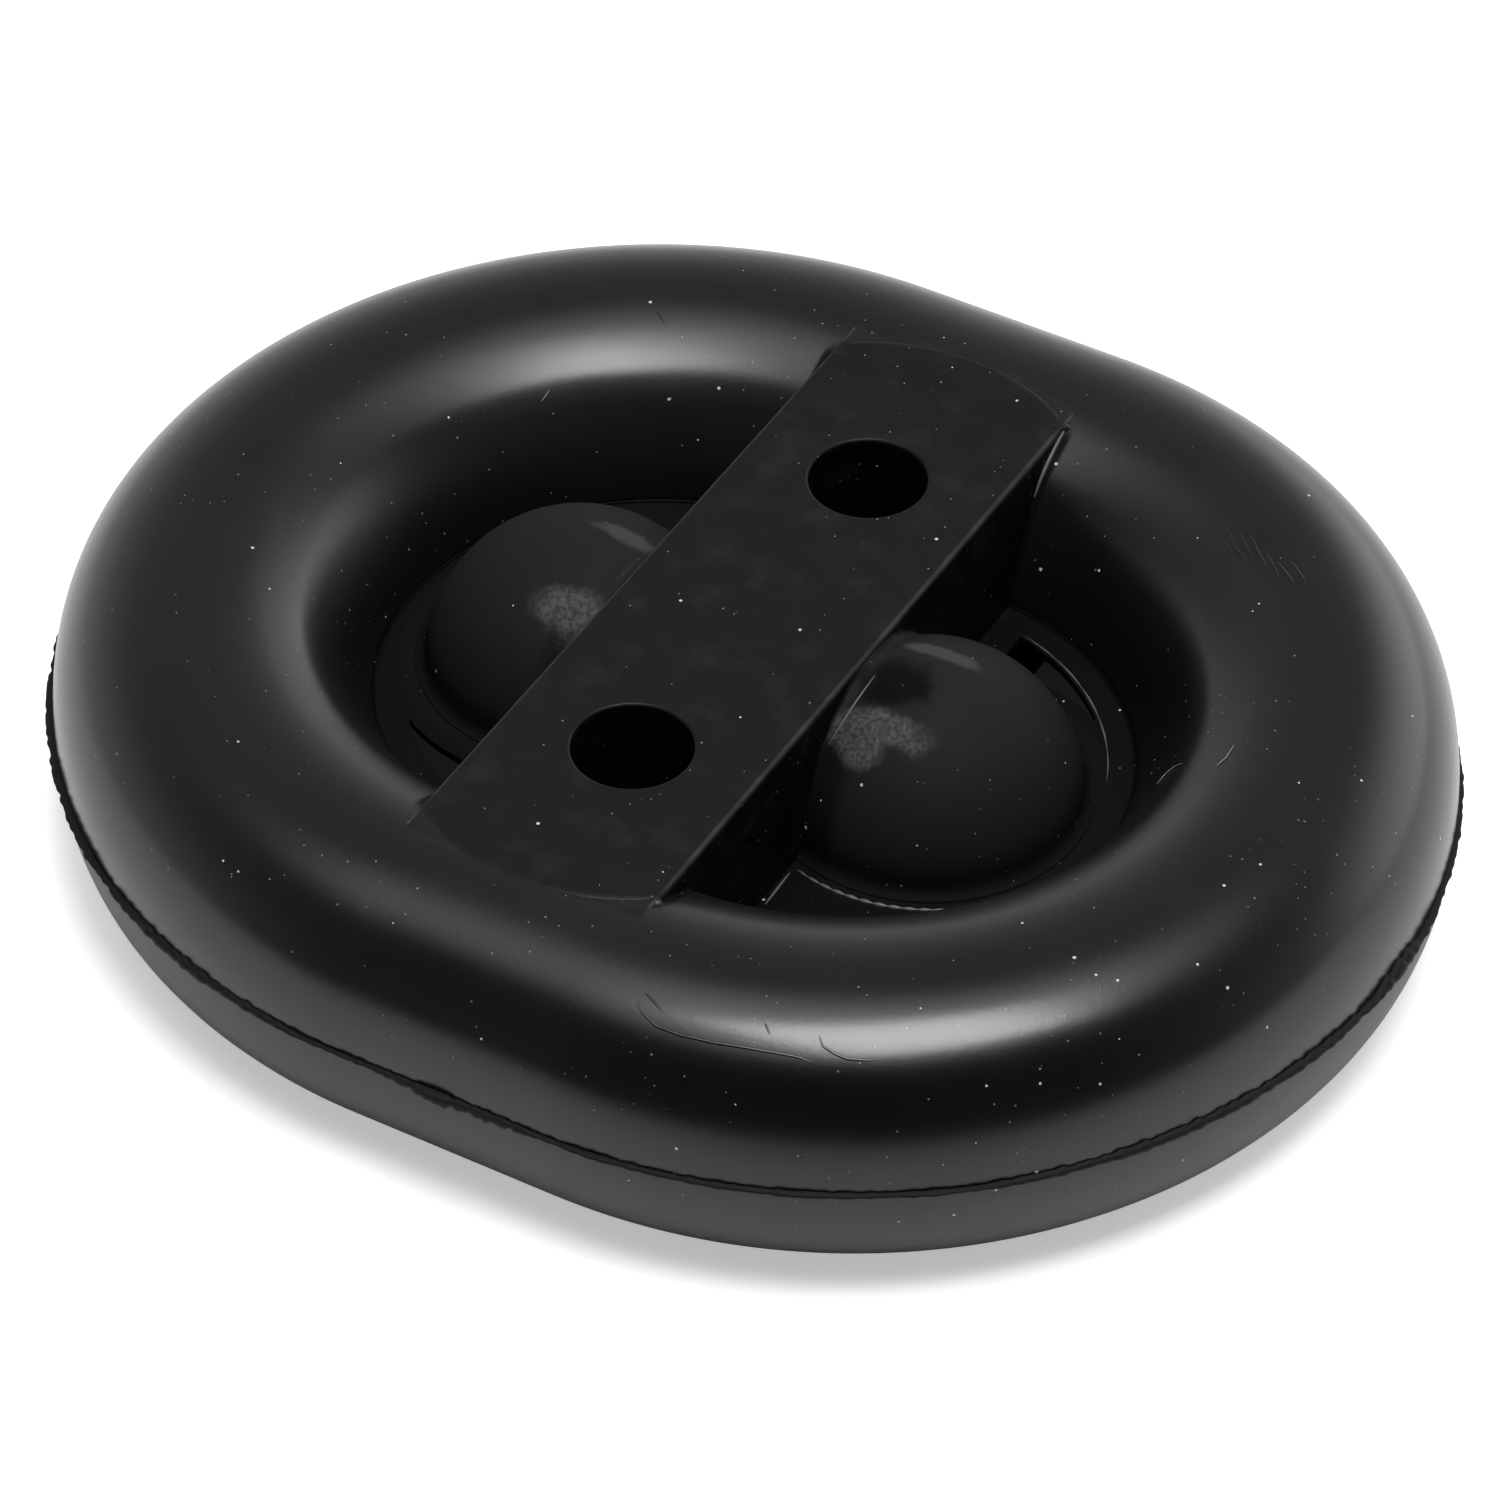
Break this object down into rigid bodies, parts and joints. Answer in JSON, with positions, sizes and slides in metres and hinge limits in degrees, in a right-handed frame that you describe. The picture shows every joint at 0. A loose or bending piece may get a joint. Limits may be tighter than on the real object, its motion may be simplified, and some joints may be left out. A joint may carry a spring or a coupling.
{
  "type": "exhaust hanger",
  "caption": "Moulded rubber exhaust hanger: an oval ring with a cross bar, pin bores through the bar and a round bump stop on each side of it.",
  "frame": {"origin": "middle of the hanger, on the mould's parting plane at mid height", "axes": "+X the long way across the ring through both bump stops, +Y along the cross bar, +Z along the pin bores"},
  "size_m": [0.1204, 0.1018, 0.026],
  "materials": {
    "rubber": "satin moulded black rubber"
  },
  "bodies": {
    "root": {"hanger_body": "rubber"}
  },
  "joints": []
}
